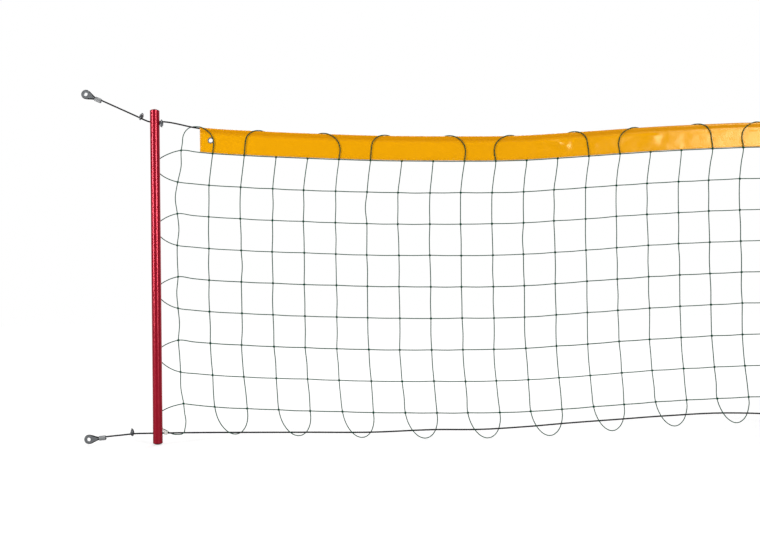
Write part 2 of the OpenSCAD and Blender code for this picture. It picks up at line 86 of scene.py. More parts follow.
def makeCamera():
    yaw, pitch = math.radians(camera["yaw"]), math.radians(camera["pitch"])
    ahead = Vector((math.sin(yaw) * math.cos(pitch), math.cos(yaw) * math.cos(pitch), math.sin(pitch)))
    data = bpy.data.cameras.new("camera")
    data.lens, data.sensor_width = camera["lens"], camera["sensor"]
    data.clip_start, data.clip_end = 0.05, 100.0
    obj = bpy.data.objects.new("camera", data)
    obj.location = Vector(toFrame(camera["place"])[0])
    turn = ahead.to_track_quat("-Z", "Y").to_matrix().to_4x4()
    obj.rotation_euler = (turn @ Matrix.Rotation(math.radians(camera["roll"]), 4, "Z")).to_euler()
    bpy.context.collection.objects.link(obj)
    bpy.context.scene.camera = obj


makeCamera()
print("camera set")


def colour(hexCode):
    # an sRGB hex value as linear colour
    parts = [int(hexCode[i:i + 2], 16) / 255 for i in (1, 3, 5)]
    return [p / 12.92 if p <= 0.04045 else ((p + 0.055) / 1.055) ** 2.4 for p in parts] + [1.0]


def addNode(tree, kind, inputs=None, feeds=None, **settings):
    # inputs: values, or sockets to link from; feeds: the socket that the first output goes to
    node = tree.nodes.new(kind)
    for name, value in settings.items():
        setattr(node, name, value)
    for socket, value in (inputs or {}).items():
        if isinstance(value, bpy.types.NodeSocket):
            tree.links.new(value, node.inputs[socket])
        else:
            node.inputs[socket].default_value = value
    if feeds is not None:
        tree.links.new(node.outputs[0], feeds)
    return node


def newMaterial(name, **sockets):
    # also gives the place on the surface, in metres, that its patterns are drawn by
    material = bpy.data.materials.new(name)
    material.use_nodes = True
    tree = material.node_tree
    shader = tree.nodes["Principled BSDF"]
    for socket, value in sockets.items():
        shader.inputs[socket.replace("_", " ")].default_value = value
    place = addNode(tree, "ShaderNodeTexCoord").outputs["Object"]
    return material, tree, shader, place


def mm(size):
    # a pattern's scale for a size in millimetres
    return 1000 / size


def mottle(tree, place, size, dark, light):
    # two colours of one finish, mixed by soft noise
    grain = addNode(tree, "ShaderNodeTexNoise", {"Vector": place, "Scale": mm(size), "Detail": 3.0})
    mixed = addNode(tree, "ShaderNodeMix", {"Factor": grain.outputs["Fac"]}, data_type="RGBA")
    mixed.inputs[6].default_value, mixed.inputs[7].default_value = colour(dark), colour(light)
    return mixed.outputs[2]


def layPhase(tree, strands, layLength, way=1):
    # rises by one from strand to strand round a twisted line; the map holds turns and metres along it
    lay = addNode(tree, "ShaderNodeSeparateXYZ", {0: addNode(tree, "ShaderNodeUVMap", uv_map="lay").outputs["UV"]})
    turns = addNode(tree, "ShaderNodeMath", {0: lay.outputs["X"], 1: float(strands)}, operation="MULTIPLY")
    along = addNode(tree, "ShaderNodeMath", {0: lay.outputs["Y"], 1: way * strands * mm(layLength)},
                    operation="MULTIPLY")
    return addNode(tree, "ShaderNodeMath", {0: turns.outputs[0], 1: along.outputs[0]}, operation="ADD").outputs[0]


def enamelOnSteel():
    # red transparent lacquer baked on a bright drawn tube: metal shows through, edges go deep and dark
    material, tree, shader, place = newMaterial("bakedLacquerRed", IOR=1.5, Metallic=0.35,
                                                Specular_IOR_Level=0.75, Specular_Tint=colour("#FFC8D4"))
    tree.links.new(mottle(tree, place, 160, "#98001C", "#A60022"), shader.inputs["Base Color"])
    handled = addNode(tree, "ShaderNodeTexNoise", {"Vector": place, "Scale": mm(14), "Detail": 4.0})
    addNode(tree, "ShaderNodeMapRange", {"Value": handled.outputs["Fac"], "To Min": 0.2, "To Max": 0.3},
            feeds=shader.inputs["Roughness"])
    return material


def mouldedPolyethylene():
    # injection moulded polyethylene: dull, with a fine spark-eroded grain
    material, tree, shader, place = newMaterial("polyethyleneMaroon", IOR=1.5, Specular_IOR_Level=0.4)
    tree.links.new(mottle(tree, place, 9, "#4A0510", "#5A0814"), shader.inputs["Base Color"])
    grain = addNode(tree, "ShaderNodeTexNoise", {"Vector": place, "Scale": mm(0.5), "Detail": 3.0}).outputs["Fac"]
    addNode(tree, "ShaderNodeMapRange", {"Value": grain, "To Min": 0.42, "To Max": 0.6},
            feeds=shader.inputs["Roughness"])
    addNode(tree, "ShaderNodeBump", {"Height": grain, "Distance": 0.03 / 1000}, feeds=shader.inputs["Normal"])
    return material


def coatedWireRope():
    # black PVC drawn tightly over galvanised wire rope: soft sheen on each strand
    material, tree, shader, place = newMaterial("vinylBlack", IOR=1.52, Specular_IOR_Level=0.18)
    tree.links.new(mottle(tree, place, 25, "#08080A", "#100F12"), shader.inputs["Base Color"])
    scuff = addNode(tree, "ShaderNodeTexNoise", {"Vector": place, "Scale": mm(3), "Detail": 5.0})
    addNode(tree, "ShaderNodeMapRange", {"Value": scuff.outputs["Fac"], "To Min": 0.3, "To Max": 0.5},
            feeds=shader.inputs["Roughness"])
    return material


def greyMetal(name, dark, light, rough, grainSize):
    # a soft, uneven gloss in cells of a few millimetres, over fine pits
    material, tree, shader, place = newMaterial(name, Metallic=1.0)
    tree.links.new(mottle(tree, place, grainSize, dark, light), shader.inputs["Base Color"])
    spangle = addNode(tree, "ShaderNodeTexVoronoi", {"Vector": place, "Scale": mm(1.6)})
    addNode(tree, "ShaderNodeMapRange", {"Value": spangle.outputs["Distance"], "To Min": rough[0],
                                         "To Max": rough[1]}, feeds=shader.inputs["Roughness"])
    pits = addNode(tree, "ShaderNodeTexNoise", {"Vector": place, "Scale": mm(0.8), "Detail": 4.0})
    addNode(tree, "ShaderNodeBump", {"Height": pits.outputs["Fac"], "Distance": 0.05 / 1000, "Strength": 0.6},
            feeds=shader.inputs["Normal"])
    return material


def coatedFabric():
    # PVC-coated polyester: smooth amber film with the base cloth's threads just showing
    material, tree, shader, place = newMaterial("coatedFabricAmber", IOR=1.5, Specular_IOR_Level=0.25,
                                                Specular_Tint=colour("#FFE0AC"))
    lay = addNode(tree, "ShaderNodeSeparateXYZ", {0: addNode(tree, "ShaderNodeUVMap", uv_map="lay").outputs["UV"]})
    # painted shade: the film over the rope's hem, the first 9 mm, is painted a shade browner
    hemPaintedShade = addNode(tree, "ShaderNodeMapRange", {"Value": lay.outputs["Y"], "From Min": 0.009, "From Max": 0.016,
                                                "To Min": 0.55, "To Max": 0.0})
    mixed = addNode(tree, "ShaderNodeMix", {"Factor": hemPaintedShade.outputs["Result"]}, data_type="RGBA")
    tree.links.new(mottle(tree, place, 120, "#E9A000", "#F2A904"), mixed.inputs[6])
    mixed.inputs[7].default_value = colour("#CF8200")
    tree.links.new(mixed.outputs[2], shader.inputs["Base Color"])
    wear = addNode(tree, "ShaderNodeTexNoise", {"Vector": place, "Scale": mm(30), "Detail": 6.0})
    addNode(tree, "ShaderNodeMapRange", {"Value": wear.outputs["Fac"], "To Min": 0.14, "To Max": 0.26},
            feeds=shader.inputs["Roughness"])
    threads = []
    for axis in ("X", "Y"):  # base cloth of 9 threads to the centimetre
        turns = addNode(tree, "ShaderNodeMath", {0: lay.outputs[axis], 1: mm(1.1)}, operation="MULTIPLY")
        threads.append(addNode(tree, "ShaderNodeMath", {0: turns.outputs[0], 1: 0.5}, operation="PINGPONG"))
    weave = addNode(tree, "ShaderNodeMath", {0: threads[0].outputs[0], 1: threads[1].outputs[0]},
                    operation="MAXIMUM")
    addNode(tree, "ShaderNodeBump", {"Height": weave.outputs[0], "Distance": 0.04 / 1000, "Strength": 0.5},
            feeds=shader.inputs["Normal"])
    return material


def twistedTwine():
    # twine laid from three strands of green polyethylene: matt, with painted shade in the grooves between the strands
    material, tree, shader, place = newMaterial("polyethyleneTwineGreen", Roughness=0.6, IOR=1.5,
                                                Specular_IOR_Level=0.15)
    strand = addNode(tree, "ShaderNodeMath", {0: layPhase(tree, 3, 8), 1: 0.5}, operation="PINGPONG").outputs[0]
    lit = addNode(tree, "ShaderNodeMapRange", {"Value": strand, "To Min": 0.0, "To Max": 2.0})
    shade = addNode(tree, "ShaderNodeMix", {"Factor": lit.outputs["Result"]}, data_type="RGBA")
    shade.inputs[6].default_value = colour("#04281C")  # painted shade in the grooves
    tree.links.new(mottle(tree, place, 60, "#10583F", "#17664B"), shade.inputs[7])
    tree.links.new(shade.outputs[2], shader.inputs["Base Color"])
    addNode(tree, "ShaderNodeBump", {"Height": strand, "Distance": 0.5 / 1000}, feeds=shader.inputs["Normal"])
    return material


def braidedCord():
    # round braid of white polyester: two sets of yarn that cross in diamonds
    material, tree, shader, _ = newMaterial("polyesterBraidWhite", Roughness=0.7, Sheen_Weight=0.2,
                                            Sheen_Roughness=0.4)
    left, right = [addNode(tree, "ShaderNodeMath", {0: layPhase(tree, 6, 12, way), 1: 0.5}, operation="PINGPONG")
                   for way in (1, -1)]
    diamonds = addNode(tree, "ShaderNodeMath", {0: left.outputs[0], 1: right.outputs[0]}, operation="MAXIMUM")
    # painted shade: the yarns are painted greyer where they dip between one another
    lit = addNode(tree, "ShaderNodeMapRange", {"Value": diamonds.outputs[0], "To Min": 0.0, "To Max": 2.0})
    shade = addNode(tree, "ShaderNodeMix", {"Factor": lit.outputs["Result"]}, data_type="RGBA")
    shade.inputs[6].default_value, shade.inputs[7].default_value = colour("#C9C7BE"), colour("#F3F2EC")
    tree.links.new(shade.outputs[2], shader.inputs["Base Color"])
    addNode(tree, "ShaderNodeBump", {"Height": diamonds.outputs[0], "Distance": 0.4 / 1000},
            feeds=shader.inputs["Normal"])
    return material


def bondedThread():
    # bonded nylon sewing thread, a shade darker than the film
    material, tree, shader, place = newMaterial("nylonThreadAmber", Roughness=0.45)
    tree.links.new(mottle(tree, place, 4, "#C98208", "#DB930F"), shader.inputs["Base Color"])
    return material


finish = {
    "enamel": enamelOnSteel(),
    "plug": mouldedPolyethylene(),
    "rope": coatedWireRope(),
    # electroplated zinc: bright, with a slight spangle
    "zinc": greyMetal("zincPlateBright", "#808386", "#989B9E", (0.3, 0.5), 6),
    # zinc on a rough casting: darker and duller
    "saddle": greyMetal("zincOnCastIron", "#505255", "#66686B", (0.45, 0.62), 3),
    # aluminium pressed in a die: pale and satin
    "ferrule": greyMetal("pressedAluminium", "#A3A5A7", "#B8BABB", (0.34, 0.5), 12),
    "fabric": coatedFabric(),
    "twine": twistedTwine(),
    "braid": braidedCord(),
    "thread": bondedThread(),
}
print("materials made")


def smoothLine(points, step):
    # a soft curve through the points, sampled every step millimetres or so
    p = np.asarray(points, float)
    d = np.maximum(np.linalg.norm(np.diff(p, axis=0), axis=1), 1e-6)
    lean = np.diff(p, axis=0) / d[:, None]
    m = np.empty_like(p)
    m[0], m[-1] = lean[0], lean[-1]
    m[1:-1] = (lean[1:] * d[:-1, None] + lean[:-1] * d[1:, None]) / (d[1:] + d[:-1])[:, None]
    out = []
    for i, length in enumerate(d):
        count = max(1, int(round(length / step)))
        for s in np.arange(count) / count:
            out.append((2 * s ** 3 - 3 * s ** 2 + 1) * p[i] + (s ** 3 - 2 * s ** 2 + s) * length * m[i]
                       + (3 * s ** 2 - 2 * s ** 3) * p[i + 1] + (s ** 3 - s ** 2) * length * m[i + 1])
    out.append(p[-1])
    return np.array(out)


def tube(line, radius, sides, ridges=0, ridge=0.0, lay=1.0, closed=False):
    # in millimetres; ridges: helical strands, ridge: their height, lay: length of one turn
    # the map holds turns round the line and metres along it
    p = np.asarray(line, float)
    n = len(p)
    ahead = np.roll(p, -1, axis=0) - np.roll(p, 1, axis=0)
    if not closed:
        ahead[0], ahead[-1] = p[1] - p[0], p[-1] - p[-2]
    ahead /= np.maximum(np.linalg.norm(ahead, axis=1), 1e-12)[:, None]
    side = np.cross(ahead[0], (0, 1, 0) if abs(ahead[0][1]) < 0.9 else (1, 0, 0))
    sidesOf = []
    for t in ahead:
        side = side - t * side.dot(t)
        side = side / np.linalg.norm(side)
        sidesOf.append(side)
    sidesOf = np.array(sidesOf)
    upOf = np.cross(ahead, sidesOf)
    steps = np.linalg.norm(np.diff(p, axis=0), axis=1)
    along = np.concatenate([[0], np.cumsum(steps)])
    angle = 2 * math.pi * np.arange(sides) / sides
    r = np.broadcast_to(np.asarray(radius, float).reshape(-1, 1), (n, 1))
    r = r + ridge * np.cos(ridges * (angle[None, :] - 2 * math.pi * along[:, None] / lay)) * (ridges > 0)
    verts = (p[:, None, :] + r[:, :, None] * (np.cos(angle)[None, :, None] * sidesOf[:, None, :]
             + np.sin(angle)[None, :, None] * upOf[:, None, :])).reshape(-1, 3)
    i, j = np.meshgrid(np.arange(n if closed else n - 1), np.arange(sides), indexing="ij")
    i, j = i.ravel(), j.ravel()
    k, nextRing = (j + 1) % sides, (i + 1) % n
    faces = np.stack([i * sides + j, nextRing * sides + j, nextRing * sides + k, i * sides + k], axis=1).tolist()
    end = np.append(along[1:], along[-1] + np.linalg.norm(p[0] - p[-1])) if closed else along[1:]
    u, v, w = j / sides, along[i] / 1000, end[i] / 1000
    lays = np.stack([u, v, u, w, u + 1 / sides, w, u + 1 / sides, v], axis=1).reshape(-1, 2).tolist()
    if not closed:
        for ring, turned in ((0, False), (n - 1, True)):
            loop = [ring * sides + q for q in range(sides)]
            faces.append(loop[::-1] if turned else loop)
            lays += [[0.5, float(along[ring]) / 1000]] * sides
    return {"verts": verts, "faces": faces, "lays": lays}


def moved(part, matrix):
    # a mirrored part has its faces turned out again
    m = np.array(matrix)
    verts = part["verts"] @ m[:3, :3].T + m[:3, 3]
    if np.linalg.det(m[:3, :3]) > 0:
        return {**part, "verts": verts}
    lays, turned, at = part["lays"], [], 0
    for face in part["faces"]:
        turned += lays[at:at + len(face)][::-1]
        at += len(face)
    return {"verts": verts, "faces": [f[::-1] for f in part["faces"]], "lays": turned}


def newPiece(name, parts, material, body, replaced=()):
    verts, faces, lays = [], [], []
    for part in parts:
        base = sum(len(v) for v in verts)
        verts.append(part["verts"])
        faces += [[q + base for q in face] for face in part["faces"]]
        lays += part["lays"]
    verts = np.concatenate(verts)
    data = bpy.data.meshes.new(name)
    data.from_pydata(toFrame(verts).tolist(), [], faces)
    layer = data.uv_layers.new(name="lay")
    layer.data.foreach_set("uv", np.array(lays, np.float32).ravel())
    data.polygons.foreach_set("use_smooth", [len(f) <= 4 for f in faces])
    data.materials.append(finish[material])
    data.update()
    obj = bpy.data.objects.new(name, data)
    bpy.context.collection.objects.link(obj)
    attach(obj, body)
    if replaced:
        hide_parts(*replaced)
    return obj


# shapes of the two ropes and of the net's lean: share of the span, share of the sag, rise or lean
sagShape = [(0, 0), (0.007, 0), (0.066, 0.38), (0.15, 0.61), (0.25, 0.8), (0.33, 0.92), (0.43, 0.99),
            (0.53, 1), (0.62, 0.84), (0.74, 0.59), (0.855, 0.44), (0.934, 0.36), (0.993, 0), (1, 0)]
riseShape = [(0, 0), (0.007, 0), (0.21, -0.18), (0.31, -0.3), (0.4, -0.16), (0.47, -0.22), (0.54, -0.02),
             (0.6, 0.26), (0.68, 0.57), (0.74, 0.8), (0.83, 1), (0.92, 0.7), (0.993, 0), (1, 0)]
leanShape = [(0, 0), (0.125, -0.85), (0.25, -1), (0.75, -1), (0.875, -0.6), (1, -0.1)]


def curveAt(x, shape):
    # a soft curve through the shape's points, level at both ends
    i = 0
    while i < len(shape) - 2 and x >= shape[i + 1][0]:
        i += 1

    def slope(k):
        if k < 2 or k > len(shape) - 3:
            return 0.0
        return (shape[k + 1][1] - shape[k - 1][1]) / (shape[k + 1][0] - shape[k - 1][0])

    width = shape[i + 1][0] - shape[i][0]
    s = (x - shape[i][0]) / width
    return (shape[i][1] * (2 * s ** 3 - 3 * s ** 2 + 1) + shape[i + 1][1] * (3 * s ** 2 - 2 * s ** 3)
            + width * slope(i) * (s ** 3 - 2 * s ** 2 + s) + width * slope(i + 1) * (s ** 3 - s ** 2))


def headZ(x):
    return -sizes["sag"] * curveAt(x / span, sagShape)


bandDrop = sizes["bandHeight"] - ropeR - gap - sizes["fabric"]
rowDrop = bandDrop + twineR + sizes["rowClear"]
footZ = headZ(sizes["sideGap"]) - rowDrop - sizes["endDip"] - (rows - 1) * mesh - sizes["footGap"]


def footRopeZ(x):
    return footZ + sizes["footRise"] * curveAt(x / span, riseShape)


# flat: straight run from the pole's axis, angle and run: of the slope up to the eye, level: height at the pole
tails = {
    "head": {"flat": poleR - 1, "angle": 25.0, "run": 212.0, "level": 0.0},
    "foot": {"flat": 68.0, "angle": -5.0, "run": 146.0, "level": footZ},
}
fitting = {"eyeBore": 12.0, "thimbleWall": 3.7, "ferruleStart": 32.0, "ferruleLength": 20.0}
bendR = 4 * sizes["rope"]  # where a tail leaves its straight run
pairHalf = ropeR + gap
turnR = fitting["eyeBore"] / 2 + fitting["thimbleWall"] + gap + ropeR
# cut: from the pole's axis to the end of a length of rope inside its hole
wireRope = {"strands": 6, "relief": 0.11, "lay": 34.0, "sides": 24, "step": 2.0, "longStep": 3.0, "cut": 0.2}


def tailPoint(tail, s, side=0.0):
    # s: distance past the bend, side: offset across the rope
    a = math.radians(tail["angle"])
    x = -tail["flat"] - bendR * math.sin(abs(a)) - s * math.cos(a) + side * math.sin(a)
    z = math.copysign(bendR * (1 - math.cos(a)), a) + s * math.sin(a) + side * math.cos(a)
    return x, z


def tailLine(tail):
    a = math.radians(tail["angle"])
    start, run = fitting["ferruleStart"], tail["run"]
    flat = [(-wireRope["cut"], 0.0), (-tail["flat"] * 0.5, 0.0), (-tail["flat"], 0.0)]
    for share in (1 / 3, 2 / 3, 1):
        flat.append((-tail["flat"] - bendR * math.sin(abs(a) * share),
                     math.copysign(bendR * (1 - math.cos(a * share)), a)))
    flat += [tailPoint(tail, s * (run - start)) for s in (0.25, 0.5, 0.75)]
    for s in (start + fitting["ferruleLength"], start + 10, start):
        flat.append(tailPoint(tail, run - s))
    touch = math.acos(turnR / math.hypot(start, pairHalf)) + math.atan2(pairHalf, start)
    for k in range(13):  # round the thimble
        turn = (math.pi - touch) * (1 - k / 6)
        flat.append(tailPoint(tail, run + turnR * math.cos(turn), turnR * math.sin(turn) - pairHalf))
    for s in (start, start + 10, start + fitting["ferruleLength"] + 2):
        flat.append(tailPoint(tail, run - s, -2 * pairHalf))
    return smoothLine([(x, 0.0, z + tail["level"]) for x, z in flat], wireRope["step"])


def mirroredLine(line):
    out = np.array(line, float)
    out[:, 0] = span - out[:, 0]
    return out


def ropeTube(line):
    return tube(line, ropeR - wireRope["relief"], wireRope["sides"], wireRope["strands"], wireRope["relief"],
                wireRope["lay"])


cords = []  # pieces and facts of each cord
for end in ("left", "right"):
    for level in ("head", "foot"):
        line = tailLine(tails[level])
        if end == "right":
            line = mirroredLine(line)
        node = f"{end}_{level}_tail"
        piece = newPiece(f"{end}{level.capitalize()}Tail", [ropeTube(line)], "rope",
                         "root" if level == "head" else "curtain", [node])
        cords.append({"piece": piece, "line": line, "end": end, "level": level})

betweenPoles = {
    "headRope": {"node": "head_rope", "height": headZ},
    "footRope": {"node": "foot_rope", "height": footRopeZ},
}
for name, rope in betweenPoles.items():
    xs = np.linspace(wireRope["cut"], span - wireRope["cut"], int(span / wireRope["longStep"]))
    rope["line"] = np.array([(x, 0.0, rope["height"](x)) for x in xs])
    rope["piece"] = newPiece(name, [ropeTube(rope["line"])], "rope", "curtain", [rope["node"]])
print("ropes laid")

# lacing: knotted inside the tube, down behind the pole and tied round the foot rope
tie = {"x": poleR + 6, "pitch": sizes["lace"] + 0.5, "turns": 2.5, "knot": (1.2, 0.6, 2.2)}
tieR = ropeR + gap + laceR
twineReach = twineR * math.sqrt(2)  # to a corner of the solid's square section
bightStep = 30  # degrees from point to point where the twine turns round the lacing
cordTurn = (laceR + twineReach + gap) / math.cos(math.radians(bightStep / 2))
nearY = poleR + twineReach + gap
laceY = nearY + cordTurn
farY = laceY + cordTurn
laceTop = -30.0


def laceLine(end):
    # the tie keeps to the rope's height on its own side
    points = [(0, 4, laceTop), (0, 9, laceTop), (0, poleR + 1, laceTop - 0.4), (0, laceY - 1, laceTop - 3),
              (0, laceY, laceTop - 8)]
    for k in range(1, 9):
        points.append((0.6 * math.sin(k * 2.1), laceY, laceTop - 8 + (footZ + 44 - laceTop + 8) * k / 8.0))
    points += [(1.5, laceY - 0.4, footZ + 32), (6, laceY - 2.4, footZ + 22), (12, laceY - 6, footZ + 14),
               (poleR + 2, tieR + 3, footZ + 8)]
    for k in range(int(tie["turns"] * 12) + 1):
        a = k * math.pi / 6
        x = tie["x"] + tie["pitch"] * a / (2 * math.pi)
        level = footRopeZ(x if end == "left" else span - x)
        points.append((x, tieR * math.cos(a), level - tieR * math.sin(a)))
    x, y, z = points[-1]
    points += [(x + 1.5, y - 1, z + 5), (x + 3, y - 1.5, z + 9)]
    line = smoothLine(points, 1.5)
    return line if end == "left" else mirroredLine(line)


for end in ("left", "right"):
    line = laceLine(end)
    along, deep, high = tie["knot"]
    along = along if end == "left" else -along
    topKnot = np.array([line[0] + (along * math.sin(a * 2), deep * math.sin(a), high * math.cos(a))
                        for a in np.linspace(0, 2 * math.pi, 24, endpoint=False)])
    parts = [tube(line, laceR, 14), tube(topKnot, laceR * 0.9, 10, closed=True)]
    piece = newPiece(f"{end}Lacing", parts, "braid", "curtain", [f"{end}_lacing"])
    cords.append({"piece": piece, "line": line, "end": end, "level": "lacing"})
print("lacing tied")


# rope clips; places: distance past the tail's bend, tilt: degrees round the rope,
# innerX: from the tube to a fixed clip, innerReach: the stretch of rope that gives its slope
clip = {"stud": 4.6, "thread": 0.8, "threadDepth": 0.2, "threadStep": 0.16, "threadBelow": 2.5,
        "saddleTop": 7.8, "studTop": 16.8, "bowClear": 1.0, "nutFlats": 8.0, "nutHeight": 4.0, "nutPoints": 48,
        "cornerChamfer": 0.45, "boreChamfer": 0.35, "studChamfer": (0.6, 0.4), "places": {"head": 24.0, "foot": 9.0},
        "tilt": {"head": 0.0, "foot": 30.0}, "innerX": 6.5, "innerReach": 10.0}
studR = clip["stud"] / 2
bowR = ropeR + clip["bowClear"] + studR
bowZ = bowR - studR - ropeR - gap


def clipBow():
    # bent rod under the rope with two threaded studs
    turn = [(0.0, -bowR * math.cos(a), bowZ - bowR * math.sin(a)) for a in np.linspace(0, math.pi, 25)]
    threadFrom = clip["saddleTop"] - clip["threadBelow"]
    length, depth = clip["studChamfer"]
    parts = [tube([(0, -bowR, threadFrom)] + turn + [(0, bowR, threadFrom)], studR, 20)]
    for side in (-1, 1):
        zs = np.arange(threadFrom, clip["studTop"] + 0.01, clip["threadStep"])
        chamfer = np.clip((clip["studTop"] - zs) / length, 0, 1) * depth - depth
        parts.append(tube([(0, side * bowR, z) for z in zs], studR - clip["threadDepth"] / 2 + chamfer, 16, 1,
                          clip["threadDepth"] / 2, clip["thread"]))
    return parts


def nut(y):
    # hexagon with both ends turned to a chamfer
    n, half = clip["nutPoints"], clip["nutFlats"] / 2
    corner, mouth = clip["cornerChamfer"], clip["boreChamfer"]
    angles = np.arange(n) * 2 * math.pi / n
    hexagon = half / np.cos((angles % (math.pi / 3)) - math.pi / 6)
    turned = np.minimum(hexagon, half * 1.02)  # just outside the flats
    bore = np.full(n, studR + 0.02)  # just outside the thread
    low, high = clip["saddleTop"], clip["saddleTop"] + clip["nutHeight"]
    rings = [(bore + mouth, low), (turned, low), (hexagon, low + corner), (hexagon, high - corner), (turned, high),
             (bore + mouth, high), (bore, high - mouth), (bore, low + mouth)]
    verts = np.concatenate([np.stack([r * np.cos(angles), y + r * np.sin(angles), np.full(n, z)], axis=1)
                            for r, z in rings])
    faces, lays = [], []
    for i in range(len(rings)):
        for j in range(n):
            k, b = (j + 1) % n, (i + 1) % len(rings)
            faces.append([i * n + j, i * n + k, b * n + k, b * n + j])
            lays += [[j / n, i]] * 4
    return {"verts": verts, "faces": faces, "lays": lays}


mirrorX = Matrix.Translation((span, 0, 0)) @ Matrix.Scale(-1, 4, (1, 0, 0))
turnUp = Matrix.Scale(-1, 4, (0, 0, 1))


def turnY(angle):
    return Matrix.Rotation(math.radians(angle), 4, "Y")


def tailClipPlace(end, level):
    tail = tails[level]
    x, z = tailPoint(tail, clip["places"][level])
    place = (Matrix.Translation((x, 0, z + tail["level"])) @ turnY(tail["angle"])
             @ Matrix.Rotation(math.radians(clip["tilt"][level]), 4, "X"))
    return place if end == "left" else mirrorX @ place


def innerClipPlace(end):
    x, reach = poleR + clip["innerX"], clip["innerReach"]
    near, ahead = (headZ(q if end == "left" else span - q) for q in (x, x + reach))
    place = Matrix.Translation((x, 0, near)) @ turnY(math.degrees(math.atan((near - ahead) / reach))) @ turnUp
    return place if end == "left" else mirrorX @ place


clipParts = {"bow": clipBow(), "nuts": [nut(-bowR), nut(bowR)]}
clipPieces = {}
for end in ("left", "right"):
    for level in ("head", "foot"):
        place = tailClipPlace(end, level)
        for kind, parts in clipParts.items():
            name = f"{end}{level.capitalize()}Clip{kind.capitalize()}"
            clipPieces[name] = newPiece(name, [moved(p, place) for p in parts], "zinc", f"{end}_{level}_clip",
                                        [f"{end}_{level}_clip_{kind}"])
for kind, node in (("bow", "inner_clip_bows"), ("nuts", "inner_clip_nuts")):
    parts = [moved(p, innerClipPlace(end)) for end in ("left", "right") for p in clipParts[kind]]
    newPiece("innerClip" + kind.capitalize(), parts, "zinc", "curtain", [node])
print("clips fitted")

for cord in cords:
    piece, line, end, level = (cord[k] for k in ("piece", "line", "end", "level"))
    if level == "lacing":
        x = 0 if end == "left" else span
    else:
        x = -poleR if end == "left" else span + poleR
        fittings = [frame["nodes"][f"{end}_{level}_{q}"] for q in ("thimble", "ferrule", "clip_saddle")]
        fittings += [clipPieces[f"{end}{level.capitalize()}Clip{q}"] for q in ("Bow", "Nuts")]
for rope in betweenPoles.values():
    start = toFrame((poleR, 0, rope["height"](poleR)))[0].tolist()


def dress(node, material, soften=0.0):
    # a solid that keeps its shape; soften: its edges' rounding in millimetres
    obj = frame["nodes"][node]
    obj.data.materials.clear()
    obj.data.materials.append(finish[material])
    if soften:
        edge = obj.modifiers.new("softEdge", "BEVEL")
        edge.width, edge.segments, edge.limit_method = soften / 1000, 2, "ANGLE"
        edge.angle_limit = math.radians(40)


for end in ("left", "right"):
    dress(f"{end}_pole", "enamel")
    dress(f"{end}_top_plug", "plug")
    dress(f"{end}_bottom_plug", "plug")
    dress(f"{end}_eyelet", "zinc", 0.25)
    for level in ("head", "foot"):
        dress(f"{end}_{level}_thimble", "zinc", 0.35)
        dress(f"{end}_{level}_ferrule", "ferrule", 0.5)
        dress(f"{end}_{level}_clip_saddle", "saddle", 0.5)
dress("inner_clip_saddles", "saddle", 0.5)
print("solids dressed")

# band; seam: how far the rope's hem reaches down, swell: how far the layers part
band = {"step": 5.0, "seam": 14.0, "creaseDepth": 1.0, "swell": 0.3, "swellVaries": 0.25, "faintCreases": 16,
        "eyeletFlat": 11.0, "stitch": 3.2, "stitchGap": 1.6, "threadR": 0.35,
        "seamStitch": 1.5, "edgeStitch": 5.0, "endStitch": 6.0, "stitchInset": 4.0}
bandStart, bandEnd = sizes["bandInset"], span - sizes["bandInset"]
hemR = ropeR + gap + sizes["fabric"] / 2
layerY = sizes["layerGap"] + sizes["fabric"] / 2
eyeletPlaces = [(bandStart + sizes["eyeletInset"], headZ(bandStart + sizes["eyeletInset"])),
                (bandEnd - sizes["eyeletInset"], headZ(bandEnd - sizes["eyeletInset"]))]
eyeletZ = hemR + sizes["fabric"] / 2 - sizes["bandHeight"] / 2
# soft creases across the film: from x, drop to x, drop, width, height
creases = [(425, 22, 470, 66, 9, 1.1), (1222, 22, 1230, 23, 9, 1.5), (1236, 14, 1256, 16, 13, 2.1),
           (1262, 17, 1284, 24, 13, 2.0), (1275, 24, 1308, 40, 13, 2.3), (1345, 20, 1400, 40, 8, 0.8),
           (1570, 16, 1592, 26, 16, 1.6)]
for _ in range(band["faintCreases"]):
    x = random.uniform(bandStart + 60, bandEnd - 60)
    drop = random.uniform(16, 60)
    creases.append((x, drop, x + random.uniform(-90, 90), drop + random.uniform(-25, 30),
                    random.uniform(6, 13), random.uniform(-0.7, 0.8)))
creaseLines = np.array(creases)
# gentle waves of the whole film: height, length along it, length down it, and a slice of the noise
waves = ((0.7, 70, 38, 3.0), (0.35, 24, 20, 9.0))


def fade(distance, over):
    # from 0 at no distance to 1 at over millimetres
    return min(1.0, max(0.0, distance / over))


def offEyelets(x, drop):
    # 0 by an eyelet, which holds the layers flat
    share = 1.0
    for ex, _ in eyeletPlaces:
        share *= fade(math.hypot(x - ex, drop + eyeletZ) - band["eyeletFlat"], 18)
    return share


def creaseHeight(x, drop):
    # how far the film stands out at a point, drop millimetres under the rope
    a, b = creaseLines[:, 0:2], creaseLines[:, 2:4]
    along = b - a
    share = ((x - a[:, 0]) * along[:, 0] + (drop - a[:, 1]) * along[:, 1]) / (along ** 2).sum(axis=1)
    share = np.clip(share, 0, 1)
    off = np.hypot(x - a[:, 0] - share * along[:, 0], drop - a[:, 1] - share * along[:, 1])
    height = (creaseLines[:, 5] * np.exp(-(off / creaseLines[:, 4]) ** 2)).sum()
    for size, length, depth, cut in waves:
        height += size * noise.noise(Vector((x / length, drop / depth, cut)))
    return band["creaseDepth"] * height * fade(drop - band["seam"], 10) * offEyelets(x, drop)


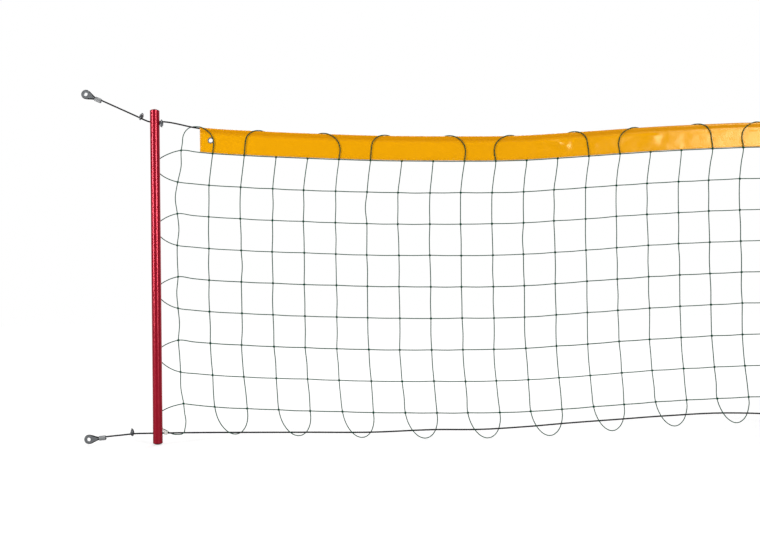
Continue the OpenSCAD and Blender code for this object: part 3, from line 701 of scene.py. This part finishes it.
def filmY(x, drop, side):
    # side -1 is the front layer, 1 the back layer
    if drop < band["seam"]:
        s = 1 - drop / band["seam"]
        return side * (layerY + (hemR - layerY) * s * s * (3 - 2 * s))
    swell = band["swell"] + band["swellVaries"] * noise.noise(Vector((x / 55, drop / 30, 20.0 + side)))
    swell *= fade(drop - band["seam"], 12) * fade(bandDrop - drop, 10) * offEyelets(x, drop)
    return side * (layerY + swell) - creaseHeight(x, drop)


def bandStations():
    xs = set(np.round(np.linspace(bandStart, bandEnd, int((bandEnd - bandStart) / band["step"]) + 1), 3).tolist())
    for ex, _ in eyeletPlaces:
        xs |= set(np.round(np.arange(ex - 12, ex + 12.1, 1.0), 3).tolist())
    xs = sorted(xs)  # closer stations round the eyelets
    return [x for i, x in enumerate(xs) if i == 0 or x - xs[i - 1] > 0.4]


def bandSection():
    # drop or angle, from the front's lower edge over the rope to the back's, closest beside the eyelets
    drops = np.concatenate([np.linspace(bandDrop, 52, 12), np.arange(50, 20, -1.0), np.linspace(20, 0, 9)])
    return ([("front", d) for d in drops] + [("top", a) for a in np.linspace(math.pi, 0, 11)[1:-1]]
            + [("back", d) for d in drops[::-1]])


def makeBand():
    stations, section = bandStations(), bandSection()
    verts, faces, spots = [], [], []
    for x in stations:
        top = headZ(x)
        for kind, value in section:
            if kind == "top":
                verts.append((x, hemR * math.cos(value), top + hemR * math.sin(value)))
                spots.append([x / 1000, -hemR * math.sin(value) / 1000])
            else:
                side = -1 if kind == "front" else 1
                verts.append((x, filmY(x, value, side), top - value))
                spots.append([x / 1000, value / 1000])
    n = len(section)
    holeR = sizes["eyeletBore"] / 2 + 0.9
    for i in range(len(stations) - 1):
        for j in range(n - 1):
            quad = [i * n + j, (i + 1) * n + j, (i + 1) * n + j + 1, i * n + j + 1]
            middle = sum((Vector(verts[q]) for q in quad), Vector()) / 4
            if any(math.hypot(middle.x - ex, middle.z - ez - eyeletZ) < holeR for ex, ez in eyeletPlaces):
                continue
            faces.append(quad)
    lays = [spots[q] for face in faces for q in face]
    obj = newPiece("bandFilm", [{"verts": np.array(verts), "faces": faces, "lays": lays}], "fabric", "curtain",
                   ["band"])
    thick = obj.modifiers.new("filmThickness", "SOLIDIFY")
    thick.thickness, thick.offset = sizes["fabric"] / 1000, 0.0
    return obj


def stitchRow(points):
    # short raised stitches of thread along a line on the film
    line = smoothLine(points, 2.0)
    along = np.concatenate([[0], np.cumsum(np.linalg.norm(np.diff(line, axis=0), axis=1))])
    out, at = [], 1.0
    while at + band["stitch"] < along[-1]:
        places = at + band["stitch"] * np.linspace(0, 1, 5)
        spots = np.stack([np.interp(places, along, line[:, k]) for k in range(3)], axis=1)
        taper = np.array([0.25, 0.85, 1.0, 0.85, 0.25])
        out.append(tube(spots, band["threadR"] * taper, 6))
        at += band["stitch"] + band["stitchGap"]
    return out


def onFilm(x, drop, side):
    # the thread's middle, just outside one layer
    return x, filmY(x, drop, side) + side * (sizes["fabric"] / 2 + 0.1), headZ(x) - drop


bandPiece = makeBand()
stitches = []
for side in (-1, 1):
    for drop in (band["seam"] + band["seamStitch"], bandDrop - band["edgeStitch"]):
        xs = np.arange(bandStart + band["stitchInset"], bandEnd - band["stitchInset"], 6.0)
        stitches += stitchRow([onFilm(x, drop, side) for x in xs])
    for x in (bandStart + band["endStitch"], bandEnd - band["endStitch"]):
        drops = np.arange(band["seam"] + 3, bandDrop - 6, 5.0)
        stitches += stitchRow([onFilm(x, drop, side) for drop in drops])
stitchPiece = newPiece("bandStitching", stitches, "thread", "curtain")
print("band sewn")


# net; its twine is round and drawn a little thicker than the square solid, so that it shows
net = {"step": 4.0, "sides": 8, "twineR": 1.5, "wander": 1.2, "archHeight": 45.0, "endArch": 62.0,
       "loopDepth": 80.0, "loopSkew": 12.0, "sideClimb": 1.3, "clear": 0.25, "footClear": 0.4}
knot = {"reach": 2.8, "reachVaries": 0.1, "tilt": (34, 52), "over": 0.9, "twineShare": 0.85, "sides": 7, "points": 14}
layerOff = twineR + gap / 2  # the rows lie in front of the uprights, a gap apart
frontY = -layerOff - sizes["twine"] - gap / 2
backY = sizes["fabric"] + sizes["layerGap"] + twineR + gap
hemClear = ropeR + gap + sizes["fabric"] + net["twineR"] + net["clear"]
bareClear = ropeR + net["twineR"] + net["clear"]
footClear = ropeR + net["twineR"] + net["footClear"]
# how far a stretch of an upright bows to the right, by column and the row above it
bows = {(1, 1): 5, (1, 2): -7, (1, 3): 5, (1, 5): -4, (1, 6): 4, (1, 8): -4, (7, 2): -5, (3, 4): 3, (12, 3): -3}


def stray(c, r):
    return net["wander"] * math.sin(math.radians(137 * c + 71 * r * r))


def knotX(c, r):
    lean = np.interp((r - 1) / (rows - 1), *zip(*leanShape))
    return sizes["sideGap"] + (c - 1) * mesh + sizes["lean"] * lean + (0 if r == 1 else stray(c, r))


def knotZ(c, r):
    dip = sizes["endDip"] if c in (1, columns) else 0
    low = 0 if r == 1 else abs(stray(r, c))
    return headZ(sizes["sideGap"] + (c - 1) * mesh) - rowDrop - dip - (r - 1) * mesh - low


def frontRight(c):
    # odd pairs of columns have their front leg on the right
    return ((c + 1) // 2) % 2 == 1


def isFront(c):
    # whether a column's top comes up in front of the band
    return c != columns and (c % 2 == 1) != frontRight(c if c % 2 == 1 else c - 1)


def uprightY(c, r):
    return layerOff if r > 1 else frontY if isFront(c) else backY


# half an arch over the rope: angle, share of its depth, shift to the middle
arch = [(0, -frontY / hemClear, 3.5), (22, 0.75, 2.5), (45, 0.85, 1), (60, 1, 0), (75, 0.78, 0)]


def overBand(x):
    return bandStart - 6 < x < bandEnd + 6


def archSide(c, way, depth):
    inward = 1 if c < (columns + 1) / 2 else -1
    out = []
    for angle, share, shift in arch:
        a = math.radians(angle)
        x = knotX(c, 1) + way * mesh / 2 * (1 - math.cos(a)) + inward * shift
        clear, rise = (hemClear, net["archHeight"]) if overBand(x) else (bareClear, net["endArch"])
        out.append((x, depth * hemClear * share, headZ(x) + clear - rise * (1 - math.sin(a))))
    return out


def topArch(c):
    first = 1 if frontRight(c) else -1
    x = knotX(c, 1) + mesh / 2
    over = hemClear if overBand(x) else bareClear
    return archSide(c, 1, first) + [(x, 0, headZ(x) + over)] + archSide(c + 1, -1, -first)[::-1]


def besideRope(height):
    # how far out the twine clears the foot rope, at a height over the rope's middle
    return footClear if height > 0 else math.sqrt(max(0, footClear ** 2 - height ** 2))


def bottomLoop(c):
    a, b = np.array([knotX(c, rows), knotZ(c, rows)]), np.array([knotX(c + 1, rows), knotZ(c + 1, rows)])
    middle = (a + b) / 2
    low = max(net["loopDepth"], middle[1] - footRopeZ(middle[0]) + footClear + 1)
    out = []
    for q in (15, 30, 45, 60, 70, 80, 90, 100, 110, 120, 135, 150, 165):
        s = math.sin(math.radians(q))
        p = a + (b - a) * (1 - math.cos(math.radians(q))) / 2 + s * np.array([net["loopSkew"], -low])
        depth = max(besideRope(p[1] - footRopeZ(p[0])), footClear * min(1, abs(90 - q) / 20))
        way = (q > 90) - (q < 90)
        out.append((p[0], way * depth * min(1, (q - 8) / 20, (172 - q) / 20), p[1]))
    return out


# from a column back to the pole: share of the way, share of the depth, fall in millimetres
sideLeg = [(0.25, 0.12, 4), (0.5, 0.42, 10), (0.74, 0.76, 18), (0.91, 0.97, 26), (1, 1, 31)]


def legToPole(x, z, depth, fall):
    return [(x * (1 - s), depth * d - layerOff * (1 - d), z - fall * f) for s, d, f in sideLeg]


def cordBight(zIn, zOut):
    out = []
    for a in range(-2 * bightStep, 3 * bightStep, bightStep):
        t = math.radians(a)
        out.append((-cordTurn * math.cos(t), laceY + cordTurn * math.sin(t), zIn + (zOut - zIn) * (a + 90) / 180))
    return out


def sideLoop(xa, za, xb, zb):
    climb = net["sideClimb"]
    return (legToPole(xa, za, nearY, 1) + cordBight(za - sideLeg[-1][2], zb + climb * sideLeg[-1][2])
            + legToPole(xb, zb, farY, -climb)[::-1])


def mirroredPoints(points):
    return [(span - x, y, z) for x, y, z in points]


def lowerCorner():
    x, z = knotX(1, rows), knotZ(1, rows)
    return ([(x - twineR, -layerOff, z)] + legToPole(x, z, nearY, 1) + cordBight(z - sideLeg[-1][2], footZ + 20) + [
        (0, farY, footZ + 16), (12, farY * 0.8, footZ + 11), (26, farY * 0.55, footZ + 5),
        (38, footClear, footZ - 1), (48, footClear * 0.6, footZ - footClear), (62, 0, footZ - footClear - 1),
        (74, -footClear * 0.6, footZ - footClear), (82, -footClear, footZ), (86, -footClear * 0.8, footZ + 14),
        (x + 7, -0.5, footZ + 34), (x + 3, layerOff, (footZ + z) / 2 + 16)])


def upperCorner():
    x, z = span - knotX(columns, 1), knotZ(columns, 1)
    points = ([(x, layerOff, z + 14), (x * 0.92, layerOff * 2, z + 30), (x * 0.7, farY * 0.35, z + 42),
               (x * 0.4, farY * 0.75, z + 46), (12, farY * 0.97, z + 42), (0, farY, z + 36)]
              + cordBight(z - 2, z + 30)[::-1]
              + [(0, nearY, z - 6), (10, nearY * 0.97, z - 7), (22, nearY * 0.75, z - 7),
                 (x * 0.5, nearY * 0.42, z - 5), (x * 0.8, 0.2, z - 1), (x - twineR, -layerOff, z)])
    return mirroredPoints(points)


def slack(a, b, bow, drop):
    # the middle of a stretch between two knots, a little off the straight line
    off = (bow, random.uniform(-0.8, 0.8), -drop * random.uniform(0.4, 1.0))
    return tuple((p + q) / 2 + d for p, q, d in zip(a, b, off))


def uprightsLine():
    points = lowerCorner()
    for c in range(1, columns + 1):
        knots = [(knotX(c, r), uprightY(c, r), knotZ(c, r)) for r in range(1, rows + 1)]
        leg = [knots[0]]
        for r, (a, b) in enumerate(zip(knots, knots[1:]), 1):
            leg += [slack(a, b, bows.get((c, r), random.uniform(-1.6, 1.6)), 0), b]
        if c % 2 == 1:
            points += leg[::-1] + (topArch(c) if c < columns else [])
        else:
            points += leg + bottomLoop(c)
    return smoothLine(points + upperCorner(), net["step"])


def rowsLine():
    points = []
    for r in range(rows, 0, -1):
        cs = range(1, columns + 1) if r % 2 == 1 else range(columns, 0, -1)
        knots = [(knotX(c, r), -layerOff, knotZ(c, r)) for c in cs]
        points.append(knots[0])
        for a, b in zip(knots, knots[1:]):
            points += [slack(a, b, 0, 1.0 if r > 1 else 0.3), b]
        if r > 1:
            x = (lambda c, q: span - knotX(c, q)) if r % 2 == 1 else knotX
            c = columns if r % 2 == 1 else 1
            loop = sideLoop(x(c, r - 1), knotZ(c, r - 1), x(c, r), knotZ(c, r))
            points += (mirroredPoints(loop) if r % 2 == 1 else loop)[::-1]
    return smoothLine(points, net["step"])


def knotParts():
    # two wraps that cross over each crossing and draw it tight
    out = []
    for r in range(1, rows + 1):
        for c in range(1, columns + 1):
            back, front = uprightY(c, r), -layerOff
            y, depth = (back + front) / 2, abs(back - front) / 2 + net["twineR"] * knot["over"]
            for way in (1, -1):
                tilt = math.radians(way * random.uniform(*knot["tilt"]))
                reach = knot["reach"] * random.uniform(1 - knot["reachVaries"], 1 + knot["reachVaries"])
                ring = [(knotX(c, r) + reach * math.cos(a) * math.cos(tilt), y + depth * math.sin(a),
                         knotZ(c, r) + reach * math.cos(a) * math.sin(tilt))
                        for a in np.linspace(0, 2 * math.pi, knot["points"], endpoint=False)]
                out.append(tube(ring, net["twineR"] * knot["twineShare"], knot["sides"], closed=True))
    return out


newPiece("netUprights", [tube(uprightsLine(), net["twineR"], net["sides"])], "twine", "curtain",
         ["net_uprights"])
newPiece("netRows", [tube(rowsLine(), net["twineR"], net["sides"])], "twine", "curtain", ["net_rows"])
newPiece("netKnots", knotParts(), "twine", "curtain")
print("net knotted")

# floor and light, in metres; the floor glows from nearGlow to farGlow between litFrom and litTo from the net
stage = {"floor": 40.0, "nearGlow": 0.61, "farGlow": 0.88, "litFrom": 1.3, "litTo": 5.0, "floorSeen": (0.0, 1.5),
         "skyLevel": 0.24, "skySeen": (0.2, 0.7)}
# two tall boxes left and right of the camera draw the tube's two long highlights
lamps = {
    "leftSoftbox": {"place": (hole.x - 2.5, -2.1, hole.z + 0.15), "target": (hole.x, 0, hole.z - 0.3),
                    "size": (0.6, 1.4), "watts": 62},
    "rightSoftbox": {"place": (hole.x + 4.3, -5.2, hole.z + 0.6), "target": (hole.x, 0, hole.z - 0.3),
                     "size": (1.2, 1.7), "watts": 185},
    "topSoftbox": {"place": (hole.x + 1.0, -1.2, 2.0), "target": (hole.x + 1.0, 0, -0.5),
                   "size": (2.4, 1.4), "watts": 18},
    "backSoftbox": {"place": (hole.x + 1.0, 2.6, 2.0), "target": (hole.x + 1.0, 0, -0.4),
                    "size": (2.4, 1.2), "watts": 52},
}
groundZ = cadBox[0][2]


def backgroundSeen(tree, depth, seen):
    # 1 where a ray shows the white background: the camera's own rays, and those from gloss and glass
    # that run to the far side of the net; on the near side they meet the dim room
    near, far = seen
    ray = addNode(tree, "ShaderNodeLightPath")
    mirrored = addNode(tree, "ShaderNodeMath", {0: ray.outputs["Is Glossy Ray"],
                                                1: ray.outputs["Is Transmission Ray"]}, operation="MAXIMUM")
    behind = addNode(tree, "ShaderNodeMapRange", {"Value": depth, "From Min": near, "From Max": far})
    behind = addNode(tree, "ShaderNodeMath", {0: behind.outputs["Result"], 1: mirrored.outputs[0]},
                     operation="MULTIPLY")
    return addNode(tree, "ShaderNodeMath", {0: behind.outputs[0], 1: ray.outputs["Is Camera Ray"]},
                   operation="MAXIMUM").outputs[0]


def makeFloor():
    # pale painted board, matt; it glows less round the net, where the lamps light it
    material, tree, shader, place = newMaterial("paintedBoard", Roughness=0.9, Specular_IOR_Level=0.1)
    tree.links.new(mottle(tree, place, 900, "#C0C0C0", "#C6C6C6"), shader.inputs["Base Color"])
    middle = (cadBox[0] + cadBox[1]) / 2
    away = addNode(tree, "ShaderNodeVectorMath", {0: place, 1: (middle[0], middle[1], groundZ)},
                   operation="DISTANCE")
    level = addNode(tree, "ShaderNodeMapRange", {"Value": away.outputs["Value"], "From Min": stage["litFrom"],
                                                 "From Max": stage["litTo"], "To Min": stage["nearGlow"],
                                                 "To Max": stage["farGlow"]})
    depth = addNode(tree, "ShaderNodeSeparateXYZ", {0: place}).outputs["Y"]
    seen = addNode(tree, "ShaderNodeMath", {0: level.outputs["Result"],
                                            1: backgroundSeen(tree, depth, stage["floorSeen"])},
                   operation="MULTIPLY")
    glow = addNode(tree, "ShaderNodeEmission", {"Color": colour("#FFFFFF"), "Strength": seen.outputs[0]})
    both = addNode(tree, "ShaderNodeAddShader", {0: shader.outputs[0], 1: glow.outputs[0]})
    tree.links.new(both.outputs[0], tree.nodes["Material Output"].inputs["Surface"])
    half = stage["floor"] / 2
    data = bpy.data.meshes.new("floor")
    corners = [(middle[0] + a * half, middle[1] + b * half, groundZ) for a, b in ((-1, -1), (1, -1), (1, 1), (-1, 1))]
    data.from_pydata(corners, [], [(0, 1, 2, 3)])
    data.materials.append(material)
    obj = bpy.data.objects.new("floor", data)
    bpy.context.collection.objects.link(obj)


def softbox(name, place, target, size, watts):
    data = bpy.data.lights.new(name, "AREA")
    data.shape, data.energy = "RECTANGLE", watts
    data.size, data.size_y = size
    obj = bpy.data.objects.new(name, data)
    obj.location = Vector(place)
    obj.rotation_euler = (Vector(target) - Vector(place)).to_track_quat("-Z", "Y").to_euler()
    bpy.context.collection.objects.link(obj)


def makeSky():
    world = bpy.data.worlds.new("studio")
    bpy.context.scene.world = world
    world.use_nodes = True
    tree = world.node_tree
    way = addNode(tree, "ShaderNodeSeparateXYZ", {0: addNode(tree, "ShaderNodeTexCoord").outputs["Generated"]})
    level = addNode(tree, "ShaderNodeMath", {0: backgroundSeen(tree, way.outputs["Y"], stage["skySeen"]),
                                             1: stage["skyLevel"]}, operation="MAXIMUM")
    back = tree.nodes["Background"]
    back.inputs["Color"].default_value = colour("#FFFFFF")
    tree.links.new(level.outputs[0], back.inputs["Strength"])


makeFloor()
makeSky()
for name, lamp in lamps.items():
    softbox(name, **lamp)
bpy.context.scene.view_settings.view_transform = "Standard"
print("stage lit")
